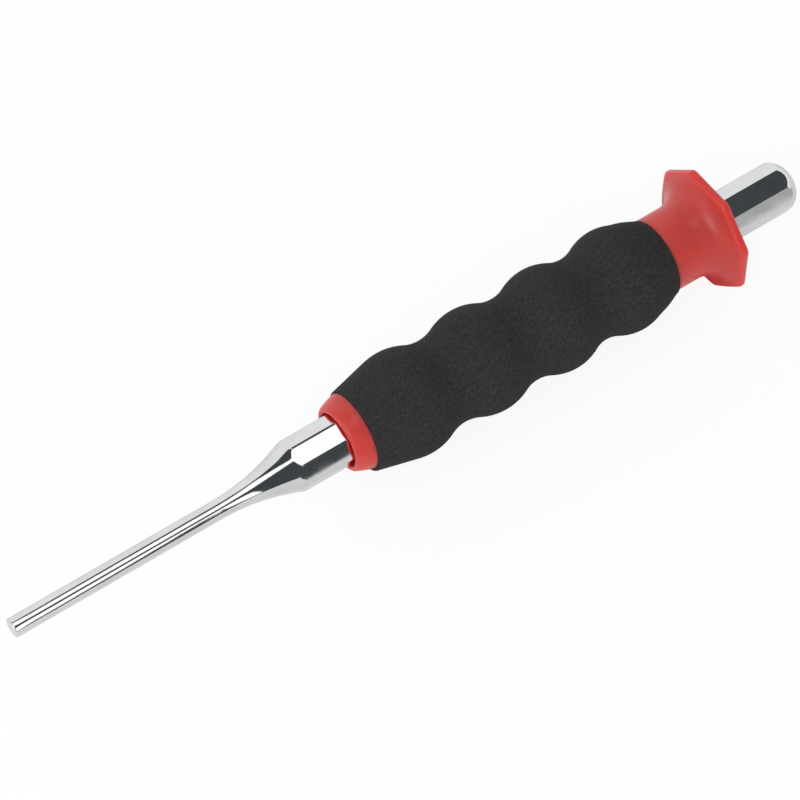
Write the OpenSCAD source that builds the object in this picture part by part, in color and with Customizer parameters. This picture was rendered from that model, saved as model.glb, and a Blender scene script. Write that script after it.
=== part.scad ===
// Sheathed parallel pin punch: a one-piece steel punch pushed into a plastic sheath
// with an anti-roll hand guard, and a moulded foam grip captured on the sheath.
// The tool lies along +X. The origin is the centre of the pin's flat tip,
// the striking face is at the far end and a flat of the guard faces down.

/* [Punch] */
// Nominal size, the diameter of the pin that the punch drives out
nominal_size = 4; // [3:0.5:5]
// How much the pin is made under its nominal size, so that it clears the hole
pin_undersize = 0.1; // [0.05:0.05:0.2]
// Overall length from tip to striking face
overall_length = 178; // [174:1:200]
// Octagonal bar, across flats
bar_af = 10; // [9:0.5:10]
// How far the bar's flats are turned from the guard's, degrees
bar_turn = 19.5; // [0:0.5:44.5]
// Polished-off height at each corner of the bar
corner_break = 0.08; // [0.04:0.01:0.2]
// Length of the parallel pin
pin_length = 44.3; // [38:0.1:47]
// Radius of the trumpet neck between pin and bar
neck_radius = 44; // [36:1:46]
// Edge break round the tip
tip_break = 0.2; // [0.1:0.05:0.3]
// Radius of the rounded shoulder at the striking end
shoulder_radius = 4.3; // [3:0.1:5]
// Slope of the shoulder where it leaves the bar, degrees
shoulder_start = 12; // [6:1:20]
// Slope of the shoulder at the flat striking face, degrees
shoulder_end = 55; // [45:1:60]

/* [Sheath] */
// Where the foam grip starts behind the collar, from the tip
grip_start = 75.1; // [74:0.1:77]
// Length of the foam grip
grip_length = 70.6; // [69:0.2:72.4]
// Length of the collar's curved flank
flank_length = 3.3; // [2.8:0.1:3.7]
// Slope of the flank at its front end, degrees
flank_front = 26; // [22:1:30]
// Slope of the flank against the foam, degrees
flank_rear = 9; // [6:1:14]
// Radius of the collar's rounded lip
lip_radius = 0.85; // [0.75:0.05:0.95]
// Flat land between the lip and the mouth
lip_land = 0.35; // [0.2:0.05:0.6]
// Gap between the bar's corners and the open mouth round them
mouth_gap = 0.4; // [0.3:0.05:0.8]
// Depth of the mouth
mouth_depth = 2; // [1.5:0.25:5]
// Gap on each side between bar and bore, a push fit
bore_gap = 0.05; // [0.02:0.01:0.1]
// Wall of the core tube over the corners of its bore
core_wall = 1.3; // [1:0.05:1.6]
// How far the barrel stands above the core tube
barrel_step = 1.05; // [0.8:0.05:1.2]
// Length of the straight barrel
barrel_length = 5.4; // [5:0.05:6.5]

/* [Guard] */
// Radius of the fillet that flares out to the guard
flare_radius = 5.65; // [5:0.05:6.5]
// Steepest slope of the flare, degrees
flare_angle = 75; // [66:1:80]
// Guard across flats
guard_af = 25; // [24:0.2:25.6]
// Rounded-off height at each corner of the guard
guard_break = 0.12; // [0.1:0.02:0.4]
// Thickness of the guard's rim at its corners
rim_thickness = 1.85; // [1.4:0.05:2.2]
// Bevel along the front and back edges of the rim
rim_bevel = 0.4; // [0.2:0.05:0.5]

/* [Foam grip] */
// Diameter at the crowns
crown_d = 21.6; // [20:0.1:22.6]
// Diameter at the waists
waist_d = 17.8; // [17:0.1:18.8]
// Where the first crown stands, from the start of the foam
first_crown = 11.3; // [10.4:0.1:11.8]
// Where the last crown stands, from the end of the foam
last_crown = 9.3; // [8.7:0.1:10.4]
// How much shorter each later spacing of the crowns is
pitch_step = 0.65; // [0.5:0.05:0.9]
// Share of each wave that is crown rather than waist
crown_share = 0.57; // [0.5:0.01:0.64]
// How far the foam stands above the collar
foam_step = 0.6; // [0.4:0.05:0.9]
// How far the foam stands above the barrel
tail_step = 0.1; // [0.05:0.05:0.3]
// Radius of the first crown, where the straight taper from the collar runs into it
taper_radius = 12.2; // [10:0.2:14]
// Radius of the last crown, where the straight taper to the barrel leaves it
tail_radius = 9.4; // [8:0.2:10.4]
// Edge rounding of the foam at the collar
front_round = 0.4; // [0.3:0.1:0.5]

/* [Hidden] */
$fn = 96;
sides = 8;
half_side = 180 / sides;
crowns = 4;
steps = 5;
eps = 0.5;

pin_r = (nominal_size - pin_undersize) / 2;
bar_r = bar_af / 2 / cos(half_side) - corner_break;
bore_af = bar_af + 2 * bore_gap;
mouth_r = bar_r + mouth_gap;
core_r = bore_af / 2 / cos(half_side) + core_wall;
barrel_r = core_r + barrel_step;
crown_r = crown_d / 2;
waist_r = waist_d / 2;

// Angle on the neck's arc at which it reaches the corners of the bar
neck_sweep = acos(1 - (bar_r - pin_r) / neck_radius);
// Centre of the shoulder's arc
shoulder_x = overall_length - shoulder_radius * sin(shoulder_end);
shoulder_r = bar_r - shoulder_radius * cos(shoulder_start);

// Collar flank, an arc whose slope falls from front to rear, behind a lip round the mouth
flank_radius = flank_length / (sin(flank_front) - sin(flank_rear));
flank_cx = grip_start + flank_radius * sin(flank_rear);
lip_cx = flank_cx - (flank_radius - lip_radius) * sin(flank_front);
lip_cr = mouth_r + lip_land;
flank_cr = lip_cr - (flank_radius - lip_radius) * cos(flank_front);
collar_r = flank_cr + flank_radius * cos(flank_rear);
collar_front = lip_cx - lip_radius;

// Barrel, flare and rim
grip_end = grip_start + grip_length;
flare_start = grip_end + barrel_length;
guard_r = guard_af / 2 / cos(half_side) - guard_break;
// The fillet ends at its steepest slope, or sooner where it meets the rim
flare_sweep = min(flare_angle, acos(1 - (guard_r - barrel_r) / flare_radius));
flare_x = flare_start + flare_radius * sin(flare_sweep);
flare_r = barrel_r + flare_radius * (1 - cos(flare_sweep));
rim_front = flare_x + (guard_r - flare_r) / tan(flare_sweep);
guard_back = rim_front + rim_thickness;
// Where the flare's cone, run on in a straight line, has the radius r
function flare_station(r) = rim_front - (guard_r - r) / tan(flare_sweep);

// Foam crowns, and the slopes of the straight tapers that touch the first and the last of them
front_r = collar_r + foam_step;
rear_r = barrel_r + tail_step;
crown_pitch = (grip_length - first_crown - last_crown) / (crowns - 1) + pitch_step * (crowns - 2) / 2;
function crown(i) = grip_start + first_crown + i * crown_pitch - pitch_step * i * (i - 1) / 2;
function waist(i) = (crown(i) + crown(i + 1)) / 2;
function taper_slope(r, run, fall) = asin(r / norm([run, r - fall])) - atan2(r - fall, run);
front_slope = taper_slope(taper_radius, first_crown, crown_r - front_r);
rear_slope = taper_slope(tail_radius, last_crown, crown_r - rear_r);

// Points on an arc about [cx, cr], whose slope goes from a0 to a1 degrees
function crest(cx, cr, r, a0, a1, n) = [for (k = [0:n]) let (a = a0 + (a1 - a0) * k / n)
    [cr + r * cos(a), cx - r * sin(a)]];
function hollow(cx, cr, r, a0, a1, n) = [for (k = [0:n]) let (a = a0 + (a1 - a0) * k / n)
    [cr - r * cos(a), cx + r * sin(a)]];

// One half wave as two arcs that meet at the same slope, falling from a crown at x0
// to a waist of radius r1 at x1, or the mirror of that when x1 lies in front of x0
function wave(x0, x1, r1) = let (d = x1 - x0, g = 2 * atan((crown_r - r1) / abs(d)),
        ra = crown_share * abs(d) / sin(g), rb = (1 - crown_share) * abs(d) / sin(g), s = sign(d))
    concat(crest(x0, crown_r - ra, ra, 0, -s * g, steps), hollow(x1, r1 + rb, rb, -s * g, 0, steps));
function reversed(list) = [for (k = [len(list) - 1:-1:0]) list[k]];
// An outline with each point that two stretches share kept once
function joined(list) = [for (k = [0:len(list) - 1])
    if (k == 0 || norm(list[k] - list[k - 1]) > 0.001) list[k]];

punch_outline = concat(
    [[0, 0], [pin_r - tip_break, 0], [pin_r, tip_break]],
    hollow(pin_length, pin_r + neck_radius, neck_radius, 0, neck_sweep, 14),
    crest(shoulder_x, shoulder_r, shoulder_radius, -shoulder_start, -shoulder_end, 6),
    [[0, overall_length]]);

sheath_outline = concat(
    [[0, collar_front]],
    crest(lip_cx, lip_cr, lip_radius, 90, flank_front, 5),
    crest(flank_cx, flank_cr, flank_radius, flank_front, flank_rear, 4),
    [[core_r, grip_start], [core_r, grip_end], [barrel_r, grip_end]],
    hollow(flare_start, barrel_r + flare_radius, flare_radius, 0, flare_sweep, 9),
    [[guard_r - rim_bevel, flare_station(guard_r - rim_bevel)]],
    [[guard_r, flare_station(guard_r - rim_bevel) + rim_bevel], [guard_r, guard_back - rim_bevel]],
    [[guard_r - rim_bevel, guard_back], [0, guard_back]]);

foam_outline = concat(
    [[core_r, grip_start], [front_r - front_round, grip_start]],
    [[front_r + front_round * tan(front_slope), grip_start + front_round]],
    crest(crown(0), crown_r - taper_radius, taper_radius, front_slope, 0, steps),
    [for (i = [0:crowns - 2]) each concat(wave(crown(i), waist(i), waist_r),
        reversed(wave(crown(i + 1), waist(i), waist_r)))],
    crest(crown(crowns - 1), crown_r - tail_radius, tail_radius, 0, -rear_slope, steps),
    [[rear_r, grip_end], [core_r, grip_end]]);

// Turns an outline of [radius, station] points about the tool's axis
module turned_body(outline) {
    rotate([0, 90, 0])
        rotate_extrude()
            polygon(joined(outline));
}

// Eight-sided prism along the axis, with a flat facing down unless it is turned
module octagon_bar(af, from, to, turn) {
    translate([from, 0, 0])
        rotate([0, 90, 0])
            rotate([0, 0, half_side + turn])
                cylinder(d = af / cos(half_side), h = to - from, $fn = sides);
}

// Eight flats round the guard, as four crossed slabs, each bevelled along the rim's front and back edges
module guard_flats() {
    flat = guard_af / 2;
    foot = flat - rim_bevel;
    edge = [[collar_front - eps, foot], [flare_station(foot), foot], [flare_station(foot) + rim_bevel, flat],
        [guard_back - rim_bevel, flat], [guard_back, foot], [guard_back + eps, foot]];
    intersection_for(i = [0:sides / 2 - 1])
        rotate([90 + 2 * half_side * i, 0, 0])
            linear_extrude(height = 2 * guard_af, center = true)
                polygon(concat(edge, [for (p = reversed(edge)) [p[0], -p[1]]]));
}

// Pin, trumpet neck, octagonal bar and rounded head in one piece of steel
module punch() {
    color([0.8, 0.81, 0.83])
        intersection() {
            turned_body(punch_outline);
            octagon_bar(bar_af, -eps, overall_length + eps, bar_turn);
        }
}

// Collar, core tube, barrel and guard in one moulding, with the bar's bore through it
module sheath() {
    color([0.72, 0.05, 0.05])
        difference() {
            intersection() {
                turned_body(sheath_outline);
                guard_flats();
            }
            octagon_bar(bore_af, collar_front - eps, guard_back + eps, bar_turn);
            translate([collar_front - eps, 0, 0])
                rotate([0, 90, 0])
                    cylinder(r = mouth_r, h = mouth_depth + eps);
        }
}

// Foam sleeve between the collar and the barrel, with finger waists
module foam_grip() {
    color([0.04, 0.04, 0.04])
        turned_body(foam_outline);
}

punch();
sheath();
foam_grip();
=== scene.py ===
import math

import bmesh
import bpy
import numpy as np
from mathutils import Matrix, Vector, noise


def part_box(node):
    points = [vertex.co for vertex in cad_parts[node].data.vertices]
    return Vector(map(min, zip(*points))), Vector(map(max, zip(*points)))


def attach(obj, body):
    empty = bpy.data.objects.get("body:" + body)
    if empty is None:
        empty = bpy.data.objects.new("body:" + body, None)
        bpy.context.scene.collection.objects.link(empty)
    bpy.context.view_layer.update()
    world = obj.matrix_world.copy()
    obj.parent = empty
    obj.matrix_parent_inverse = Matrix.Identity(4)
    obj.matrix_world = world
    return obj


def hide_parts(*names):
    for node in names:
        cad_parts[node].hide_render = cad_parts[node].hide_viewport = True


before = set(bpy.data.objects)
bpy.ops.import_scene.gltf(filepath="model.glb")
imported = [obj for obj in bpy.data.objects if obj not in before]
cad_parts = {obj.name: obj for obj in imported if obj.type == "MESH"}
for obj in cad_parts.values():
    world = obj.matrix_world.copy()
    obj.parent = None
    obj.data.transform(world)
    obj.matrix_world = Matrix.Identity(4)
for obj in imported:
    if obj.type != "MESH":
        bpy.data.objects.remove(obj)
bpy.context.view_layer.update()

MM = 0.001

# Places taken from the frame, in millimetres
TIP_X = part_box("punch")[0].x / MM
HEAD_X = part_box("punch")[1].x / MM
COLLAR_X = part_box("sheath")[0].x / MM
GUARD_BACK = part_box("sheath")[1].x / MM
GUARD_APOTHEM = -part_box("sheath")[0].z / MM
FOAM_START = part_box("foam_grip")[0].x / MM
FOAM_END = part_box("foam_grip")[1].x / MM
CROWN_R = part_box("foam_grip")[1].z / MM

# Octagons, with turns in degrees from straight down towards the back
HALF_SIDE = 22.5
GUARD_TURN = 0.0
BAR_TURN = 19.5
CORNER_STEPS = [0, 0.6, 1.2, 1.8, 2.4, 3.0, 3.6, 4.3, 5.2, 6.6, 8.6, 11.5, 15, 19]

# Steel punch, in millimetres and degrees
PIN_R = 1.95
TIP_ROUND = 0.2
PIN_END = TIP_X + 44.3
NECK_RADIUS = 44.0
NECK_COARSE_TO = 0.94
NECK_FINE_FROM = 0.945
BAR_APOTHEM = 5.0
BAR_CORNER_CUT = 0.08
BAR_R = BAR_APOTHEM / math.cos(math.radians(HALF_SIDE)) - BAR_CORNER_CUT
BAR_FINE_FRONT = 0.6
BAR_FINE_BACK = 0.5
BAR_BLEND = 170.0
SHOULDER_RADIUS = 4.3
SHOULDER_START = 12.0
SHOULDER_END = 55.0
FACE_ROUND = 0.3
FACE_SINK = 0.4

# Red sheath. Its barrel is 0.4 mm longer than the solid's, as in the photograph.
BORE_GAP = 0.05
BORE_APOTHEM = BAR_APOTHEM + BORE_GAP
BORE_EDGE = 0.25
BORE_EDGE_DIP = 0.07
BORE_FRONT_INSET = 2.0
BORE_BACK_INSET = 4.0
MOUTH_GAP = 0.4
MOUTH_R = BAR_R + MOUTH_GAP
MOUTH_DEPTH = 2.0
MOUTH_ROUND = 0.12
MOUTH_CORNER = 0.2
FLOOR_LAND = 0.5
FLOOR_EDGE = 0.2
FLOOR_EDGE_DIP = 0.05
LIP_RADIUS = 0.85
LIP_LAND = 0.35
LIP_R = MOUTH_R + LIP_LAND
FLANK_LENGTH = 3.3
FLANK_FRONT = 26.0
FLANK_REAR = 9.0
CORE_WALL = 1.3
CORE_R = BORE_APOTHEM / math.cos(math.radians(HALF_SIDE)) + CORE_WALL
CORE_EDGE = 0.2
BARREL_STEP = 1.05
BARREL_R = CORE_R + BARREL_STEP
BARREL_LENGTH = 5.8
FLARE_START = FOAM_END + BARREL_LENGTH
FLARE_RADIUS = 5.65
FLARE_ANGLE = 75.0
GUARD_CORNER_CUT = 0.12
GUARD_R = GUARD_APOTHEM / math.cos(math.radians(HALF_SIDE)) - GUARD_CORNER_CUT
GUARD_BLEND = 200.0
RIM_FRONT_ROUND = 0.75
RIM_BACK_ROUND = 0.5
EDGE_ROUND = 0.15

# Foam grip. Its tail is fuller than the solid's, and it leans to the front and down,
# as in the photograph. The lean's place is an angle like an octagon's turn.
WAIST_R = 8.9
CROWN_AT = [86.4, 103.717, 120.383, 136.4]
CROWN_SHARE = 0.57
FOAM_STEP = 0.6
TAPER_RADIUS = 12.2
TAIL_STEP = 0.3
TAIL_RADIUS = 9.4
TAIL_SWELL = 0.18
FOAM_EDGE = 0.4
FOAM_FACE = 0.8
TAIL_EDGE = 0.2
TAIL_EDGE_DROP = 1.2
TAIL_FACE = 0.6
FOAM_LEAN = 0.21
FOAM_LEAN_AT = -60.0
FOAM_ANGLES = 240
FOAM_PITCH = 0.3
CELL_DEPTH = 0.035
CELL_SCALE = 1.9
CELL_SHARE = 0.6
FINE_CELL_SCALE = 3.7
FINE_CELL_SHARE = 0.4
SWELL_DEPTH = 0.06
SWELL_SCALE = 0.16
HAIR = 0.000001


# Outlines, as lists of (station, radius) pairs

def crest(cx, cr, radius, start, end, count):
    """A rounded-over arc whose slope goes from start to end degrees."""
    slopes = np.radians(np.linspace(start, end, count))
    return [(cx - radius * math.sin(a), cr + radius * math.cos(a)) for a in slopes]


def hollow(cx, cr, radius, start, end, count):
    """A hollow arc whose slope goes from start to end degrees."""
    slopes = np.radians(np.linspace(start, end, count))
    return [(cx + radius * math.sin(a), cr - radius * math.cos(a)) for a in slopes]


def inner_round(x, r, radius, count):
    """The rounded edge from a bore of radius r to the face at x in front of it."""
    turns = np.radians(np.linspace(0, 90, count))
    return [(x + radius * (1 - math.sin(a)), r + radius * (1 - math.cos(a))) for a in turns]


def hollow_corner(x, r, radius):
    """The round in the corner between a floor at x and a wall at r in front of it."""
    turns = np.radians(np.linspace(0, 90, 5))[1:]
    return [(x - radius * (1 - math.cos(a)), r - radius * (1 - math.sin(a))) for a in turns]


def line(p, q, count):
    """Points from p to q without the two ends."""
    shares = np.linspace(0.0, 1.0, count + 2)[1:-1]
    return [(p[0] + (q[0] - p[0]) * s, p[1] + (q[1] - p[1]) * s) for s in shares]


def half_wave(x0, x1, r1, count):
    """From a crown at x0 to a waist of radius r1 at x1, as two arcs of one slope."""
    run = abs(x1 - x0)
    slope = 2 * math.atan((CROWN_R - r1) / run)
    ra = CROWN_SHARE * run / math.sin(slope)
    rb = (1 - CROWN_SHARE) * run / math.sin(slope)
    s = -math.copysign(math.degrees(slope), x1 - x0)
    over = crest(x0, CROWN_R - ra, ra, 0, s, count)
    return over + hollow(x1, r1 + rb, rb, s, 0, count)[1:]


def taper_slope(radius, run, fall):
    """Slope in degrees of a straight taper that touches a crown of the given radius."""
    rest = radius - fall
    return math.degrees(math.asin(radius / math.hypot(run, rest)) - math.atan2(rest, run))


# Meshes, as rings round the tool's axis

def octagon(angles, apothem, turn):
    """Radius of an octagon that has a flat at turn degrees."""
    off = (angles - math.radians(turn) + math.pi / 8) % (math.pi / 4) - math.pi / 8
    return apothem / np.cos(off)


def softer(a, b, blend):
    """The smaller of two radii, with a small round where they cross."""
    low = np.minimum(a, b)
    return low * ((low / a) ** blend + (low / b) ** blend) ** (-1.0 / blend)


def corner_angles(turn):
    """Angles round the axis, close together at the corners of an octagon."""
    half = [-s for s in CORNER_STEPS[:0:-1]] + CORNER_STEPS + [HALF_SIDE]
    corners = turn + HALF_SIDE + 2 * HALF_SIDE * np.arange(8)
    return np.radians(np.concatenate([c + np.array(half) for c in corners]))


def skin(name, rings, angles, start_pole=None, end_pole=None, loop=False):
    """A closed mesh over rings of (stations, radii), given in millimetres."""
    count = len(angles)
    across, down = np.sin(angles), -np.cos(angles)
    verts = []
    for stations, radii in rings:
        ring = np.broadcast_arrays(stations, radii * across, radii * down)
        verts += [tuple(v) for v in np.stack(ring, axis=1) * MM]
    faces = []
    pairs = [(j, j + 1) for j in range(len(rings) - 1)]
    if loop:
        pairs.append((len(rings) - 1, 0))
    for j, k in pairs:
        for i in range(count):
            n = (i + 1) % count
            faces.append((j * count + i, j * count + n, k * count + n, k * count + i))
    for pole, ring in ((start_pole, 0), (end_pole, len(rings) - 1)):
        if pole is None:
            continue
        verts.append((pole * MM, 0.0, 0.0))
        tip = len(verts) - 1
        for i in range(count):
            n = (i + 1) % count
            face = (tip, ring * count + n, ring * count + i)
            faces.append(face if ring == 0 else face[::-1])
    mesh = bpy.data.meshes.new(name)
    mesh.from_pydata(verts, [], faces)
    mesh.validate()
    mesh.shade_smooth()
    return placed(name, mesh)


def placed(name, data):
    """A new object in the scene."""
    thing = bpy.data.objects.new(name, data)
    bpy.context.scene.collection.objects.link(thing)
    return thing


def face_outwards(piece):
    """Turns every face of a closed mesh outwards."""
    bm = bmesh.new()
    bm.from_mesh(piece.data)
    bmesh.ops.recalc_face_normals(bm, faces=bm.faces)
    bm.to_mesh(piece.data)
    bm.free()


# Steel punch

def neck_outline():
    """The pin from its tip, and the trumpet neck up to the bar."""
    sweep = math.degrees(math.acos(1 - (BAR_R - PIN_R) / NECK_RADIUS))
    cr = PIN_R + NECK_RADIUS
    path = [(TIP_X, PIN_R * s) for s in (0.3, 0.6, 0.8)]
    path += crest(TIP_X + TIP_ROUND, PIN_R - TIP_ROUND, TIP_ROUND, 90, 0, 7)
    path += line((TIP_X + TIP_ROUND, PIN_R), (PIN_END, PIN_R), 14)
    path += hollow(PIN_END, cr, NECK_RADIUS, 0, sweep * NECK_COARSE_TO, 48)
    return path + hollow(PIN_END, cr, NECK_RADIUS, sweep * NECK_FINE_FROM, sweep, 14)


def head_outline(neck_end):
    """The bar from the end of the neck, and its rounded head."""
    start, end = math.radians(SHOULDER_START), math.radians(SHOULDER_END)
    cx = HEAD_X - SHOULDER_RADIUS * math.sin(end)
    cr = BAR_R - SHOULDER_RADIUS * math.cos(start)
    shoulder = cx + SHOULDER_RADIUS * math.sin(start)
    face_r = cr + SHOULDER_RADIUS * math.cos(end)
    front, back = neck_end + BAR_FINE_FRONT, shoulder - BAR_FINE_BACK
    edge_x, edge_r = HEAD_X - FACE_ROUND, face_r - FACE_ROUND * FACE_SINK
    path = line((neck_end, BAR_R), (front, BAR_R), 6)
    path += line((front, BAR_R), (back, BAR_R), 16)
    path += line((back, BAR_R), (shoulder, BAR_R), 5)
    path += crest(cx, cr, SHOULDER_RADIUS, -SHOULDER_START, -SHOULDER_END, 36)[:-2]
    path += crest(edge_x, edge_r, FACE_ROUND, -SHOULDER_END, -90, 6)
    return path + [(HEAD_X, face_r * s) for s in (0.8, 0.6, 0.4, 0.2)]


def make_punch():
    """Pin, trumpet neck, octagonal bar and rounded head."""
    path = neck_outline()
    path += head_outline(path[-1][0])
    angles = corner_angles(BAR_TURN)
    flats = octagon(angles, BAR_APOTHEM, BAR_TURN)
    rings = [(x, softer(np.full_like(flats, r), flats, BAR_BLEND)) for x, r in path]
    return skin("punch_polished", rings, angles, start_pole=TIP_X, end_pole=HEAD_X)


# Red sheath

def collar_flank():
    """Centre and radius of the arc along the collar's flank, and the radius at its rear."""
    front, rear = math.radians(FLANK_FRONT), math.radians(FLANK_REAR)
    radius = FLANK_LENGTH / (math.sin(front) - math.sin(rear))
    cx = FOAM_START + radius * math.sin(rear)
    cr = LIP_R - (radius - LIP_RADIUS) * math.cos(front)
    return cx, cr, radius, cr + radius * math.cos(rear)


def collar_outline(floor_x):
    """From the floor of the mouth out over the lip and the flank to the core tube."""
    cx, cr, radius, rear_r = collar_flank()
    path = [(floor_x, MOUTH_R - FLOOR_LAND), (floor_x, MOUTH_R - MOUTH_CORNER)]
    path += hollow_corner(floor_x, MOUTH_R, MOUTH_CORNER)
    path += line((floor_x - MOUTH_CORNER, MOUTH_R), (COLLAR_X + MOUTH_ROUND, MOUTH_R), 4)
    path += inner_round(COLLAR_X, MOUTH_R, MOUTH_ROUND, 8)
    path += crest(COLLAR_X + LIP_RADIUS, LIP_R, LIP_RADIUS, 90, FLANK_FRONT, 16)
    path += crest(cx, cr, radius, FLANK_FRONT, FLANK_REAR, 14)[1:-1]
    path += crest(FOAM_START - EDGE_ROUND, rear_r - EDGE_ROUND, EDGE_ROUND, FLANK_REAR, -90, 6)
    return path + line((FOAM_START, rear_r), (FOAM_START, CORE_R), 2)


def barrel_outline():
    """From the core tube under the foam over the barrel to the end of the flare."""
    path = [(FOAM_START, CORE_R), (FOAM_START + CORE_EDGE, CORE_R)]
    path += line((FOAM_START, CORE_R), (FOAM_END, CORE_R), 8)
    path += [(FOAM_END - CORE_EDGE, CORE_R), (FOAM_END, CORE_R)]
    path += line((FOAM_END, CORE_R), (FOAM_END, BARREL_R - EDGE_ROUND), 1)
    path += crest(FOAM_END + EDGE_ROUND, BARREL_R - EDGE_ROUND, EDGE_ROUND, 90, 0, 5)
    path += line((FOAM_END + EDGE_ROUND, BARREL_R), (FLARE_START, BARREL_R), 6)
    return path + hollow(FLARE_START, BARREL_R + FLARE_RADIUS, FLARE_RADIUS, 0, FLARE_ANGLE, 30)


def rim_rings(flare_end, rim):
    """From the end of the flare out over the guard's rounded rim to its back."""
    x, r = flare_end
    steep = math.radians(FLARE_ANGLE)
    front_r = rim - RIM_FRONT_ROUND
    meet = x + (rim - r) / math.tan(steep)
    front = meet + RIM_FRONT_ROUND * math.tan(steep / 2)
    edge_x = front - RIM_FRONT_ROUND * math.sin(steep)
    edge_r = front_r + RIM_FRONT_ROUND * math.cos(steep)
    back = GUARD_BACK - RIM_BACK_ROUND
    back_r = rim - RIM_BACK_ROUND
    rings = [(x + (edge_x - x) * s, r + (edge_r - r) * s) for s in (0.25, 0.5, 0.75)]
    for a in np.linspace(steep, 0, 10):
        across, out = math.sin(a), math.cos(a)
        rings.append((front - RIM_FRONT_ROUND * across, front_r + RIM_FRONT_ROUND * out))
    rings += [(front + (back - front) * s, rim) for s in (0.33, 0.67)]
    for a in np.radians(np.linspace(0, 90, 8)):
        across, out = math.sin(a), math.cos(a)
        rings.append((back + RIM_BACK_ROUND * across, back_r + RIM_BACK_ROUND * out))
    return rings


def bore_rings(rim, bore, floor_x):
    """From the guard's rim in over its back, and through the bore to the mouth's floor."""
    outer, inner = rim - RIM_BACK_ROUND, bore + BORE_EDGE
    shares = (0.15, 0.3, 0.5, 0.7, 0.9, 1.0)
    rings = [(GUARD_BACK, outer + (inner - outer) * s) for s in shares]
    rings.append((GUARD_BACK - BORE_EDGE_DIP, bore + BORE_EDGE_DIP))
    rings.append((GUARD_BACK - BORE_EDGE, bore))
    first, last = GUARD_BACK - BORE_BACK_INSET, floor_x + BORE_FRONT_INSET
    rings += [(x, bore) for x in np.linspace(first, last, 10)]
    rings.append((floor_x + FLOOR_EDGE, bore))
    rings.append((floor_x + FLOOR_EDGE_DIP, bore + FLOOR_EDGE_DIP))
    rings.append((floor_x, bore + FLOOR_EDGE))
    return rings


def make_sheath():
    """Collar, core tube, barrel, flare and eight-sided guard in one moulding."""
    floor_x = COLLAR_X + MOUTH_DEPTH
    path = collar_outline(floor_x) + barrel_outline()
    angles = corner_angles(GUARD_TURN)
    flats = octagon(angles, GUARD_APOTHEM, GUARD_TURN)
    rim = softer(np.full_like(flats, GUARD_R), flats, GUARD_BLEND)
    bore = octagon(angles, BORE_APOTHEM, BAR_TURN)
    rings = [(x, np.full_like(flats, r)) for x, r in path]
    rings += rim_rings(path[-1], rim) + bore_rings(rim, bore, floor_x)
    return skin("sheath_moulded", rings, angles, loop=True)


# Foam grip

def foam_outline(front_r, rear_r):
    """The foam's outline from the collar to the barrel."""
    first, last = CROWN_AT[0], CROWN_AT[-1]
    slope = taper_slope(TAPER_RADIUS, first - FOAM_START, CROWN_R - front_r)
    path = crest(first, CROWN_R - TAPER_RADIUS, TAPER_RADIUS, slope, 0, 16)
    start = (FOAM_START + FOAM_EDGE, front_r + FOAM_EDGE * math.tan(math.radians(slope)))
    path = [start] + line(start, path[0], 24) + path
    for a, b in zip(CROWN_AT, CROWN_AT[1:]):
        middle = (a + b) / 2
        path += half_wave(a, middle, WAIST_R, 16)[1:]
        path += half_wave(b, middle, WAIST_R, 16)[-2::-1]
    slope = taper_slope(TAIL_RADIUS, FOAM_END - last, CROWN_R - rear_r)
    path += crest(last, CROWN_R - TAIL_RADIUS, TAIL_RADIUS, 0, -slope, 12)[1:]
    tail = line(path[-1], (FOAM_END, rear_r), 24)
    rise = TAIL_SWELL * np.sin(np.linspace(0, math.pi, len(tail) + 2)[1:-1]) ** 2
    path += [(x, r + s) for (x, r), s in zip(tail, rise)]
    return path + [(FOAM_END, rear_r)]


def foam_path():
    """The sleeve's whole section, from its front face round to its bore."""
    front_r = collar_flank()[-1] + FOAM_STEP
    outline = np.array(foam_outline(front_r, BARREL_R + TAIL_STEP))
    first, last = FOAM_START + FOAM_EDGE, FOAM_END - TAIL_EDGE
    stations = np.arange(first, last, FOAM_PITCH)
    radii = np.interp(stations, outline[:, 0], outline[:, 1])
    path = [(FOAM_START, CORE_R), (FOAM_START, CORE_R + FOAM_FACE)]
    path.append((FOAM_START, radii[0] - FOAM_EDGE))
    path += crest(first, radii[0] - FOAM_EDGE, FOAM_EDGE, 75, 15, 5)
    path += list(zip(stations, radii))
    path += crest(last, radii[-1] - TAIL_EDGE, TAIL_EDGE, -35, -80, 4)
    path.append((FOAM_END, radii[-1] - TAIL_EDGE_DROP * TAIL_EDGE))
    path += [(FOAM_END, CORE_R + TAIL_FACE), (FOAM_END, CORE_R)]
    return path + line((FOAM_END, CORE_R), (FOAM_START, CORE_R), 6)


def foam_hollows(x, r, angles):
    """How far the foam's skin lies under its smooth outline, all round at one station."""
    depth = np.empty(len(angles))
    for i, a in enumerate(angles):
        p = Vector((x, r * math.sin(a), r * math.cos(a)))
        cell = noise.noise(p * CELL_SCALE) * CELL_SHARE
        cell += noise.noise(p * FINE_CELL_SCALE) * FINE_CELL_SHARE
        swell = noise.noise(p * SWELL_SCALE)
        depth[i] = CELL_DEPTH * (1 + cell) / 2 + SWELL_DEPTH * (1 + swell) / 2
    return depth


def make_foam():
    """A moulded foam sleeve with finger waists and an uneven skin of small cells."""
    angles = np.linspace(0, 2 * math.pi, FOAM_ANGLES, endpoint=False)
    lean = FOAM_LEAN * np.cos(angles - math.radians(FOAM_LEAN_AT))
    rings = []
    for x, r in foam_path():
        if r <= CORE_R + HAIR:
            rings.append((x, np.full(FOAM_ANGLES, r)))
        else:
            rings.append((x, r + lean - foam_hollows(x, r, angles)))
    return skin("foam_sleeve", rings, angles, loop=True)


# Materials, with texture scales in cycles a metre and each bump as (depth in metres, strength)

NOISE_LOW = 0.3
NOISE_HIGH = 0.7
TONE_START = 0.35
TONE_END = 0.65

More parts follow.
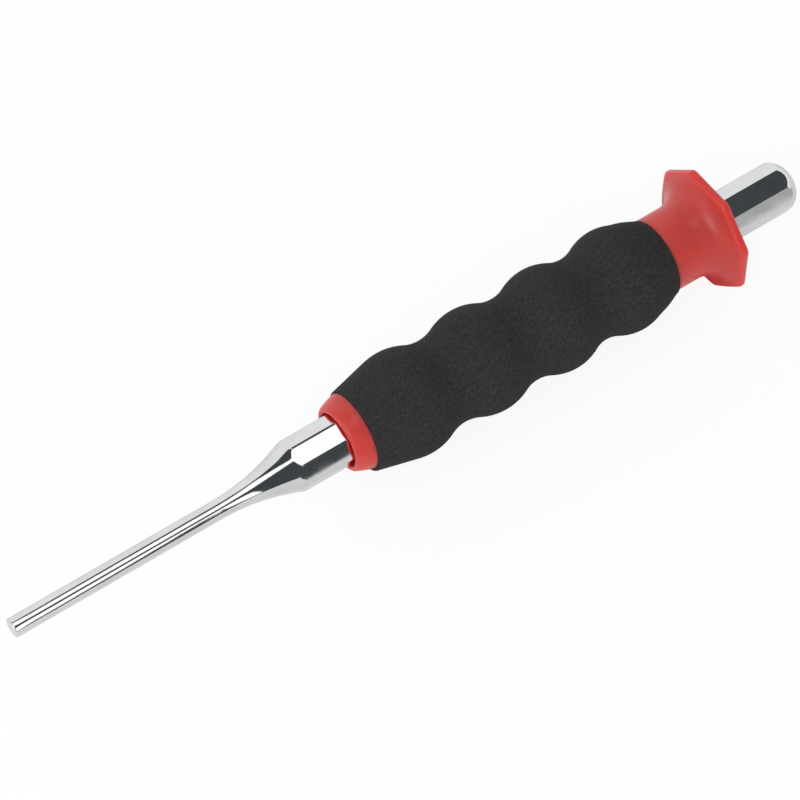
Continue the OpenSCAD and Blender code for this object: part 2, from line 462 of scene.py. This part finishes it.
STEEL_TONES = [(0.67, 0.68, 0.685), (0.73, 0.735, 0.74)]
STEEL_ROUGHNESS = (0.045, 0.085)
STEEL_HAZE = 260.0
STEEL_LINES = (60.0, 4200.0, 4200.0)
STEEL_BUMP = (0.000002, 0.25)

RED_TONES = [(0.485, 0.053, 0.046), (0.54, 0.059, 0.051)]
RED_ROUGHNESS = (0.28, 0.35)
RED_SPECULAR = 0.3
RED_SCATTER_RADIUS = (1.0, 0.1, 0.1)
RED_SCATTER_SCALE = 0.0042
RED_SHADE = 90.0
RED_GRAIN = 5200.0
RED_BUMP = (0.00002, 0.25)

FOAM_TONES = [(0.0178, 0.0178, 0.0175), (0.031, 0.031, 0.0305)]
FOAM_ROUGHNESS = 0.9
FOAM_SPECULAR = 0.2
FOAM_CELLS = 2600.0
FOAM_GRAIN = 1900.0
FOAM_BUMP = (0.0001, 0.5)


def material(name):
    """A new material with a Principled shader; returns it, its tree and that shader."""
    made = bpy.data.materials.new(name)
    made.use_nodes = True
    tree = made.node_tree
    return made, tree, tree.nodes["Principled BSDF"]


def add(tree, kind, **values):
    """Adds a node, and sets its properties or, by name, its input sockets."""
    node = tree.nodes.new(kind)
    for key, value in values.items():
        socket = key.replace("_", " ").title()
        if socket in node.inputs:
            node.inputs[socket].default_value = value
        else:
            setattr(node, key, value)
    return node


def noise_at(tree, coords, scale, detail, stretch=None):
    """A noise texture in the tool's own frame."""
    texture = add(tree, "ShaderNodeTexNoise", scale=scale, detail=detail)
    if stretch is None:
        tree.links.new(coords.outputs["Object"], texture.inputs["Vector"])
        return texture
    mapping = add(tree, "ShaderNodeMapping", scale=stretch)
    tree.links.new(coords.outputs["Object"], mapping.inputs["Vector"])
    tree.links.new(mapping.outputs["Vector"], texture.inputs["Vector"])
    return texture


def spread(tree, source, low, high):
    """Maps a texture's middle range to values from low to high."""
    mapped = add(tree, "ShaderNodeMapRange")
    mapped.inputs["From Min"].default_value = NOISE_LOW
    mapped.inputs["From Max"].default_value = NOISE_HIGH
    mapped.inputs["To Min"].default_value = low
    mapped.inputs["To Max"].default_value = high
    tree.links.new(source, mapped.inputs["Value"])
    return mapped.outputs["Result"]


def two_tone(tree, source, dark, light):
    """A colour ramp between two colours."""
    ramp = add(tree, "ShaderNodeValToRGB")
    ramp.color_ramp.elements[0].position = TONE_START
    ramp.color_ramp.elements[0].color = (*dark, 1)
    ramp.color_ramp.elements[1].position = TONE_END
    ramp.color_ramp.elements[1].color = (*light, 1)
    tree.links.new(source, ramp.inputs["Fac"])
    return ramp.outputs["Color"]


def bump(tree, shader, height, depth, strength):
    """Adds a bump of the given depth to a shader."""
    node = add(tree, "ShaderNodeBump", strength=strength, distance=depth)
    tree.links.new(height, node.inputs["Height"])
    tree.links.new(node.outputs["Normal"], shader.inputs["Normal"])


def steel_material():
    """Bright chrome on polished steel, with fine polishing lines along the tool."""
    made, tree, shader = material("polished_steel")
    coords = add(tree, "ShaderNodeTexCoord")
    shader.inputs["Metallic"].default_value = 1.0
    haze = noise_at(tree, coords, STEEL_HAZE, 3.0)
    lines = noise_at(tree, coords, 1.0, 2.0, stretch=STEEL_LINES)
    colour = two_tone(tree, haze.outputs["Fac"], *STEEL_TONES)
    tree.links.new(colour, shader.inputs["Base Color"])
    rough = spread(tree, haze.outputs["Fac"], *STEEL_ROUGHNESS)
    tree.links.new(rough, shader.inputs["Roughness"])
    bump(tree, shader, lines.outputs["Fac"], *STEEL_BUMP)
    return made


def plastic_material():
    """Satin red moulded plastic with a fine spark texture."""
    made, tree, shader = material("red_plastic")
    coords = add(tree, "ShaderNodeTexCoord")
    shade = noise_at(tree, coords, RED_SHADE, 3.0)
    grain = noise_at(tree, coords, RED_GRAIN, 2.0)
    colour = two_tone(tree, shade.outputs["Fac"], *RED_TONES)
    tree.links.new(colour, shader.inputs["Base Color"])
    shader.inputs["Subsurface Weight"].default_value = 1.0
    shader.inputs["Subsurface Radius"].default_value = RED_SCATTER_RADIUS
    shader.inputs["Subsurface Scale"].default_value = RED_SCATTER_SCALE
    shader.inputs["Specular IOR Level"].default_value = RED_SPECULAR
    rough = spread(tree, shade.outputs["Fac"], *RED_ROUGHNESS)
    tree.links.new(rough, shader.inputs["Roughness"])
    bump(tree, shader, grain.outputs["Fac"], *RED_BUMP)
    return made


def foam_material():
    """Charcoal foam with a speckle of small cells."""
    made, tree, shader = material("black_foam")
    coords = add(tree, "ShaderNodeTexCoord")
    cells = add(tree, "ShaderNodeTexVoronoi", scale=FOAM_CELLS)
    tree.links.new(coords.outputs["Object"], cells.inputs["Vector"])
    grain = noise_at(tree, coords, FOAM_GRAIN, 4.0)
    colour = two_tone(tree, grain.outputs["Fac"], *FOAM_TONES)
    tree.links.new(colour, shader.inputs["Base Color"])
    shader.inputs["Roughness"].default_value = FOAM_ROUGHNESS
    shader.inputs["Specular IOR Level"].default_value = FOAM_SPECULAR
    bump(tree, shader, cells.outputs["Distance"], *FOAM_BUMP)
    return made


# Curved studio cards, as (station, lean, lean) triples in millimetres and degrees.
# A lean is the angle from straight up towards the front.

OVERHEAD = [
    (-320, 5, 13), (-184, 1, 12.5), (-154, -1.6, 12.8), (-129, -2.7, 13.6), (-104, -4.9, 14.5),
    (-80, -7.3, 15.4), (-57, -8.7, 16.3), (-34, -10.1, 17.4), (11, -14, 20.5), (60, -11.5, 23),
    (129, -6.5, 25), (175, -4.5, 27), (206, -3.5, 28), (226, -3.5, 28), (229, -8, 14),
    (325, -8, 14)]
FRONT = [
    (24, 76, 86), (28, 66, 86), (41, 50, 86), (84, 45, 84), (129, 45, 79), (150, 45, 76),
    (170, 44.5, 74), (186, 44.5, 66), (198, 45, 59), (204, 45, 59), (206, 45.5, 76),
    (226, 46, 76)]
BACK_FLAG = [
    (-320, -46, 5), (-184, -46, 1), (-154, -46, -1.6), (-129, -45, -2.7), (-104, -43, -4.9),
    (-80, -35, -7.3), (-57, -31.5, -8.7), (-34, -30, -10.1), (11, -25.5, -14), (60, -23, -11.5),
    (129, -22.5, -6.5), (175, -22, -4.5), (206, -22, -3.5), (226, -22, -3.5), (229, -66, -8),
    (325, -66, -8)]
CAMERA_FLAG = [
    (-320, 13, 88), (-184, 12.5, 88), (-129, 13.6, 88), (-80, 15.4, 88), (-34, 17.4, 88.5),
    (11, 20.5, 88.5), (22, 21, 88.5), (24, 21.1, 76), (28, 21.4, 66), (41, 22, 50), (60, 23, 48),
    (84, 23.7, 45), (129, 25, 45), (150, 25.9, 45), (170, 26.8, 44.5), (186, 27.4, 44.5),
    (198, 27.8, 45), (204, 27.9, 45), (206, 28, 45.5), (226, 28, 46)]
LOW_FLAG = [
    (24, 86, 88.5), (41, 86, 89), (58, 85.5, 90), (84, 84, 91.5), (129, 79, 92), (150, 76, 92),
    (170, 74, 92), (186, 66, 92), (198, 59, 92), (204, 59, 92), (206, 76, 92), (226, 76, 92)]
SHANK_FLAG = [(229, 14, 92), (325, 14, 92)]
CEILING_FLAG = [(339, -20, 70), (603, -20, 70)]
FRONT_GREY = [(339, 70, 92), (603, 70, 92)]
CARD_RADIUS = 565.0
CARD_STEPS = 16

# Flat studio cards in millimetres: upright strips as (x, x) and (z, z), the card off the tip
# as (y, z) corners, and level mats as (x, y) corners
STRIP_Y = -30.0
SHANK_STRIP = [(53.2, 92), (-2.65, 6)]
NECK_STRIP = [(48, 53.2), (1.0, 3.2)]
CREASE_STRIP = [(57.5, 71.5), (6, 21.5)]
STREAK_X = -611.0
STREAK = [(-290, 265), (45, 400), (10, 570), (-400, 390)]
# The mat under the guard glows dim red: a painted reflection of the table's contact shadow and
# the red light bounced onto it, seen in the flare's lower corner
GUARD_PAINTED_BOUNCE = [(154.6, -9.6), (157.2, -9.6), (157.2, -2), (154.6, -2)]
HEAD_MAT = [(165, -527), (396, -527), (396, -89), (165, -89)]
MAT_LIFT = 0.3

# Glows of the cards, as (colour, strength)
WHITE_GLOW = [(1, 1, 1), 1.45]
DARK_GLOW = [(0.85, 0.95, 1.0), 0.075]
GREY_GLOW = [(1, 1, 1), 0.5]
STREAK_GLOW = [(1, 1, 1), 8.0]
# The red glow is painted shade and bounce light, not a lamp
PAINTED_BOUNCE_GLOW = [(0.55, 0.035, 0.09), 1.0]

# Table and world. The shares say how much of the table's look is plain white, not paint.
FLOOR_Z = -GUARD_APOTHEM
FLOOR_REACH = 3000.0
FLOOR_PAINT = (0.9, 0.9, 0.9, 1)
FLOOR_SEEN_SHARE = 0.9
FLOOR_MIRRORED_SHARE = 0.5
FLOOR_MIRRORED_LEVEL = 0.78
AMBIENT = 0.66

# Lamps, as name, place, aim, size in millimetres and power in watts
LAMPS = [
    ("key", (-600, -260, 480), (90, 0, 0), 600, 3.5),
    ("front_fill", (60, -600, 40), (100, 0, 0), 500, 1.2),
    ("back_fill", (60, 600, 300), (100, 0, 0), 500, 1.4)]


def bare_material(name):
    """A new material with only its output; returns it, its tree and the output's surface."""
    made = bpy.data.materials.new(name)
    made.use_nodes = True
    tree = made.node_tree
    tree.nodes.clear()
    out = add(tree, "ShaderNodeOutputMaterial")
    return made, tree, out.inputs["Surface"]


def glow_material(name, colour, strength):
    """A plain glowing card."""
    made, tree, surface = bare_material(name)
    glow = add(tree, "ShaderNodeEmission", color=(*colour, 1), strength=strength)
    tree.links.new(glow.outputs["Emission"], surface)
    return made


def stage_mesh(name, verts, faces, look):
    """A stage piece from corners in millimetres."""
    mesh = bpy.data.meshes.new(name)
    mesh.from_pydata([(x * MM, y * MM, z * MM) for x, y, z in verts], [], faces)
    mesh.materials.append(look)
    piece = placed(name, mesh)
    return piece


def mirror_card(name, verts, faces, look):
    """A card that only reflections see."""
    piece = stage_mesh(name, verts, faces, look)
    piece.visible_camera = False
    piece.visible_diffuse = False
    piece.visible_shadow = False


def card(name, stations, look):
    """A curved card round the tool."""
    verts, faces = [], []
    for x, low, high in stations:
        for lean in np.radians(np.linspace(low, high, CARD_STEPS + 1)):
            verts.append((x, -math.sin(lean) * CARD_RADIUS, math.cos(lean) * CARD_RADIUS))
    row = CARD_STEPS + 1
    for j in range(len(stations) - 1):
        for a in range(j * row, j * row + CARD_STEPS):
            faces.append((a, a + 1, a + row + 1, a + row))
    mirror_card(name, verts, faces, look)


def strip(name, xs, zs, look):
    """An upright card in front of the tool."""
    corners = [(xs[0], zs[0]), (xs[1], zs[0]), (xs[1], zs[1]), (xs[0], zs[1])]
    mirror_card(name, [(x, STRIP_Y, z) for x, z in corners], [(0, 1, 2, 3)], look)


def end_card(name, corners, look):
    """An upright card far off the tip."""
    mirror_card(name, [(STREAK_X, y, z) for y, z in corners], [(0, 1, 2, 3)], look)


def mat(name, corners, look):
    """A level card just over the table."""
    mirror_card(name, [(x, y, FLOOR_Z + MAT_LIFT) for x, y in corners], [(0, 1, 2, 3)], look)


def make_cards():
    """Cards that give the polished steel its bands and the red plastic its highlight, and a red
    glowing mat under the guard that is a painted reflection of shade and bounced red light.
    """
    white = glow_material("white_card", *WHITE_GLOW)
    dark = glow_material("dark_card", *DARK_GLOW)
    grey = glow_material("grey_card", *GREY_GLOW)
    card("overhead_card", OVERHEAD, white)
    card("front_card", FRONT, white)
    card("back_flag", BACK_FLAG, dark)
    card("camera_flag", CAMERA_FLAG, dark)
    end_card("streak_card", STREAK, glow_material("streak_card", *STREAK_GLOW))
    card("low_flag", LOW_FLAG, dark)
    card("shank_flag", SHANK_FLAG, dark)
    card("ceiling_flag", CEILING_FLAG, dark)
    card("front_grey", FRONT_GREY, grey)
    strip("shank_strip", *SHANK_STRIP, dark)
    strip("neck_strip", *NECK_STRIP, dark)
    strip("crease_strip", *CREASE_STRIP, dark)
    # Painted reflection of shade and red bounce light under the guard
    mat("guard_painted_bounce", GUARD_PAINTED_BOUNCE, glow_material("painted_shade_and_bounce", *PAINTED_BOUNCE_GLOW))
    mat("head_mat", HEAD_MAT, grey)


def seen_rays(tree, seen, mirrored):
    """One value for camera and transmission rays, one for glossy rays, nought for others."""
    path = add(tree, "ShaderNodeLightPath")
    through = add(tree, "ShaderNodeMath", operation="MAXIMUM")
    tree.links.new(path.outputs["Is Camera Ray"], through.inputs[0])
    tree.links.new(path.outputs["Is Transmission Ray"], through.inputs[1])
    straight = add(tree, "ShaderNodeMath", operation="MULTIPLY")
    straight.inputs[1].default_value = seen
    tree.links.new(through.outputs[0], straight.inputs[0])
    both = add(tree, "ShaderNodeMath", operation="MULTIPLY_ADD")
    both.inputs[1].default_value = mirrored
    tree.links.new(path.outputs["Is Glossy Ray"], both.inputs[0])
    tree.links.new(straight.outputs[0], both.inputs[2])
    return both.outputs[0]


def table_material():
    """White paint that keeps a soft shadow, under a plain white where it is seen."""
    made, tree, surface = bare_material("white_table")
    paint = add(tree, "ShaderNodeBsdfDiffuse", color=FLOOR_PAINT)
    light = add(tree, "ShaderNodeEmission", color=(1, 1, 1, 1))
    mix = add(tree, "ShaderNodeMixShader")
    share = seen_rays(tree, FLOOR_SEEN_SHARE, FLOOR_MIRRORED_SHARE)
    tree.links.new(share, mix.inputs["Fac"])
    level = seen_rays(tree, 1.0, FLOOR_MIRRORED_LEVEL)
    tree.links.new(level, light.inputs["Strength"])
    tree.links.new(paint.outputs[0], mix.inputs[1])
    tree.links.new(light.outputs[0], mix.inputs[2])
    tree.links.new(mix.outputs[0], surface)
    return made


def make_floor():
    """The table that the guard's lowest flat lies on."""
    signs = [(-1, -1), (1, -1), (1, 1), (-1, 1)]
    verts = [(a * FLOOR_REACH, b * FLOOR_REACH, FLOOR_Z) for a, b in signs]
    stage_mesh("table", verts, [(0, 1, 2, 3)], table_material())


def make_world():
    """White where it is seen, and a plain even level where it lights."""
    world = bpy.data.worlds.new("studio")
    bpy.context.scene.world = world
    world.use_nodes = True
    tree = world.node_tree
    background = tree.nodes["Background"]
    background.inputs["Color"].default_value = (1, 1, 1, 1)
    level = add(tree, "ShaderNodeMapRange")
    level.inputs["To Min"].default_value = AMBIENT
    level.inputs["To Max"].default_value = 1.0
    tree.links.new(seen_rays(tree, 1.0, 1.0), level.inputs["Value"])
    tree.links.new(level.outputs["Result"], background.inputs["Strength"])


def make_lamp(name, place, aim, size, watts):
    """A square soft lamp that points at aim."""
    lamp = bpy.data.lights.new(name, "AREA")
    lamp.shape = "SQUARE"
    lamp.size = size * MM
    lamp.energy = watts
    held = placed(name, lamp)
    held.location = Vector(place) * MM
    held.rotation_mode = "QUATERNION"
    held.rotation_quaternion = (Vector(aim) - Vector(place)).to_track_quat("-Z", "Y")
    held.visible_glossy = False


# Camera, fitted to the photograph, in degrees and millimetres

CAMERA_AZIMUTH = -35.3
CAMERA_ELEVATION = 54.63
CAMERA_DISTANCE = 691.85
CAMERA_LENS = 165.96
CAMERA_SENSOR = 36.0
AIM_X = 85.99
AIM_RIGHT = -0.34
AIM_UP = 0.58
CLIP_NEAR = 10.0
CLIP_FAR = 20000.0


def make_camera():
    """The camera at the photograph's viewing angle."""
    a, e = math.radians(CAMERA_AZIMUTH), math.radians(CAMERA_ELEVATION)
    back = Vector((math.sin(a) * math.cos(e), -math.cos(a) * math.cos(e), math.sin(e)))
    right = Vector((math.cos(a), math.sin(a), 0))
    up = back.cross(right)
    aim = Vector((AIM_X, 0, 0)) + right * AIM_RIGHT + up * AIM_UP
    data = bpy.data.cameras.new("camera")
    data.sensor_width = CAMERA_SENSOR
    data.lens = CAMERA_LENS
    data.clip_start = CLIP_NEAR * MM
    data.clip_end = CLIP_FAR * MM
    camera = placed("camera", data)
    turn = Matrix((right, up, back)).transposed().to_4x4()
    camera.matrix_world = Matrix.Translation((aim + back * CAMERA_DISTANCE) * MM) @ turn
    bpy.context.scene.camera = camera


def dress(piece, node, look):
    """Puts a piece in the place of its CAD node, with its material."""
    face_outwards(piece)
    piece.data.materials.append(look)
    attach(piece, "root")
    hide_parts(node)


bpy.context.scene.view_settings.view_transform = "Standard"
make_world()
make_floor()
make_cards()
for lamp in LAMPS:
    make_lamp(*lamp)
make_camera()

punch = make_punch()
dress(punch, "punch", steel_material())
sheath = make_sheath()
dress(sheath, "sheath", plastic_material())
foam = make_foam()
dress(foam, "foam_grip", foam_material())
